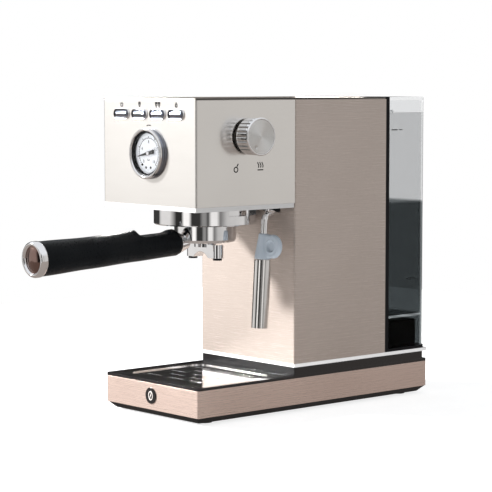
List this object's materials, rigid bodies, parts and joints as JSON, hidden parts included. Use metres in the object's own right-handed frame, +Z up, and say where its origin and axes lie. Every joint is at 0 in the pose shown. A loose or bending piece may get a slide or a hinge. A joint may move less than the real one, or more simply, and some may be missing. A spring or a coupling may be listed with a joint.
{
  "type": "espresso machine",
  "caption": "Slim pump espresso machine with a round pressure gauge, push buttons, steam knob, locking filter holder, swivel steam wand, rear water tank and drip tray.",
  "frame": {"origin": "on the worktop under the middle of the base, just below the flat underside of the base pan", "axes": "+X to the machine's right, +Y to its back, +Z up"},
  "size_m": [0.1657, 0.4614, 0.315],
  "materials": {
    "black_plastic": "satin black",
    "gloss_black": "gloss black",
    "rubber": "matt",
    "brushed_steel": "brushed stainless steel",
    "polished_steel": "polished stainless steel",
    "chrome": "mirror chrome",
    "white_trim": "gloss white",
    "screw_steel": "zinc plated",
    "circuit_board": "solder mask",
    "brass": "machined",
    "dial_white": "satin white with printed marks",
    "needle_black": "satin black",
    "clear_glass": "polished",
    "spun_aluminium": "spun",
    "aluminium": "cast",
    "blue_grey_silicone": "matt silicone",
    "smoke_plastic": "clear smoke plastic",
    "silicone_hose": "milky silicone",
    "copper": "drawn copper",
    "silicone_red": "silicone"
  },
  "bodies": {
    "machine": {"base_pan": "black_plastic", "rubber_feet": "rubber", "base_band": "brushed_steel", "base_deck": "gloss_black", "badge": "gloss_black", "plinth": "gloss_black", "trim_strip": "white_trim", "cord_gland": "rubber", "column_shell": "brushed_steel", "rear_cover": "black_plastic", "case_screws": "screw_steel", "head_shell": "brushed_steel", "head_bottom": "polished_steel", "top_plate": "brushed_steel", "button_surrounds": "chrome", "control_board": "circuit_board", "gauge_case": "chrome", "gauge_movement": "brass", "gauge_dial": "dial_white", "gauge_glass": "clear_glass", "steam_valve": "brass", "group_collar": "chrome", "group_head": "aluminium", "group_gasket": "silicone_red", "shower_screen": "polished_steel", "wand_nut": "black_plastic", "tank_pedestal": "black_plastic", "boiler": "aluminium", "thermostats": "screw_steel", "solenoid_valve": "black_plastic", "pump": "black_plastic", "pump_mounts": "rubber", "pump_bracket": "screw_steel", "suction_hose": "silicone_hose", "brew_pipe": "copper", "steam_pipes": "copper"},
    "power_button": {"power_button": "chrome"},
    "single_cup_button": {"single_cup_button": "chrome"},
    "double_cup_button": {"double_cup_button": "chrome"},
    "steam_button": {"steam_button": "chrome"},
    "gauge_needle": {"gauge_needle": "needle_black"},
    "steam_knob": {"steam_knob": "chrome", "knob_disc": "spun_aluminium", "valve_spindle": "brass"},
    "portafilter": {"portafilter_body": "chrome", "filter_basket": "polished_steel", "twin_spout": "chrome", "spout_tips": "black_plastic", "portafilter_handle": "black_plastic", "handle_cap": "chrome"},
    "wand_ball": {"wand_ball": "chrome"},
    "wand": {"wand_tube": "polished_steel", "wand_grip": "blue_grey_silicone"},
    "frother_sleeve": {"frother_sleeve": "polished_steel"},
    "tank": {"tank": "smoke_plastic", "tank_valve": "black_plastic"},
    "valve_plunger": {"valve_plunger": "black_plastic"},
    "tank_lid": {"tank_lid": "smoke_plastic"},
    "drip_tray": {"drip_tray": "black_plastic"},
    "drip_tray_cover": {"drip_tray_cover": "polished_steel"}
  },
  "joints": [
    {"name": "power_button_press", "type": "slide", "parent": "machine", "child": "power_button", "axis": [0, 1, 0], "range_m": [0, 0.0015], "stiffness_N_per_m": 600, "springref_m": -0.001},
    {"name": "single_cup_button_press", "type": "slide", "parent": "machine", "child": "single_cup_button", "axis": [0, 1, 0], "range_m": [0, 0.0015], "stiffness_N_per_m": 600, "springref_m": -0.001},
    {"name": "double_cup_button_press", "type": "slide", "parent": "machine", "child": "double_cup_button", "axis": [0, 1, 0], "range_m": [0, 0.0015], "stiffness_N_per_m": 600, "springref_m": -0.001},
    {"name": "steam_button_press", "type": "slide", "parent": "machine", "child": "steam_button", "axis": [0, 1, 0], "range_m": [0, 0.0015], "stiffness_N_per_m": 600, "springref_m": -0.001},
    {"name": "gauge_needle_turn", "type": "hinge", "parent": "machine", "child": "gauge_needle", "pos_m": [0, -0.1602, 0.261], "axis": [0, 1, 0], "range_deg": [-33, 236], "stiffness_Nm_per_rad": 0.002},
    {"name": "steam_knob_turn", "type": "hinge", "parent": "machine", "child": "steam_knob", "pos_m": [0.0725, -0.0955, 0.278], "axis": [1, 0, 0], "range_deg": [0, 60]},
    {"name": "portafilter_lock", "type": "hinge", "parent": "machine", "child": "portafilter", "pos_m": [0, -0.0885, 0.189], "axis": [0, 0, 1], "range_deg": [-45, 0]},
    {"name": "wand_swing_out", "type": "hinge", "parent": "machine", "child": "wand_ball", "pos_m": [0.055, -0.0495, 0.204], "axis": [0, 1, 0], "range_deg": [-32, 8]},
    {"name": "wand_swing_forward", "type": "hinge", "parent": "wand_ball", "child": "wand", "pos_m": [0.055, -0.0495, 0.204], "axis": [1, 0, 0], "range_deg": [-12, 6]},
    {"name": "frother_sleeve_pull", "type": "slide", "parent": "wand", "child": "frother_sleeve", "axis": [0, 0.0593, 0.9982], "range_m": [-0.045, 0]},
    {"name": "tank_lift", "type": "slide", "parent": "machine", "child": "tank", "axis": [0, 0, 1], "range_m": [0, 0.25]},
    {"name": "tank_valve_open", "type": "slide", "parent": "tank", "child": "valve_plunger", "axis": [0, 0, 1], "range_m": [0, 0.002], "stiffness_N_per_m": 200, "springref_m": -0.003},
    {"name": "tank_lid_open", "type": "hinge", "parent": "tank", "child": "tank_lid", "pos_m": [0, 0.1581, 0.2992], "axis": [-1, 0, 0], "range_deg": [0, 95]},
    {"name": "drip_tray_lift", "type": "slide", "parent": "machine", "child": "drip_tray", "axis": [0, 0, 1], "range_m": [0, 0.04]},
    {"name": "drip_tray_cover_lift", "type": "slide", "parent": "drip_tray", "child": "drip_tray_cover", "axis": [0, 0, -1], "range_m": [-0.03, 0]}
  ]
}
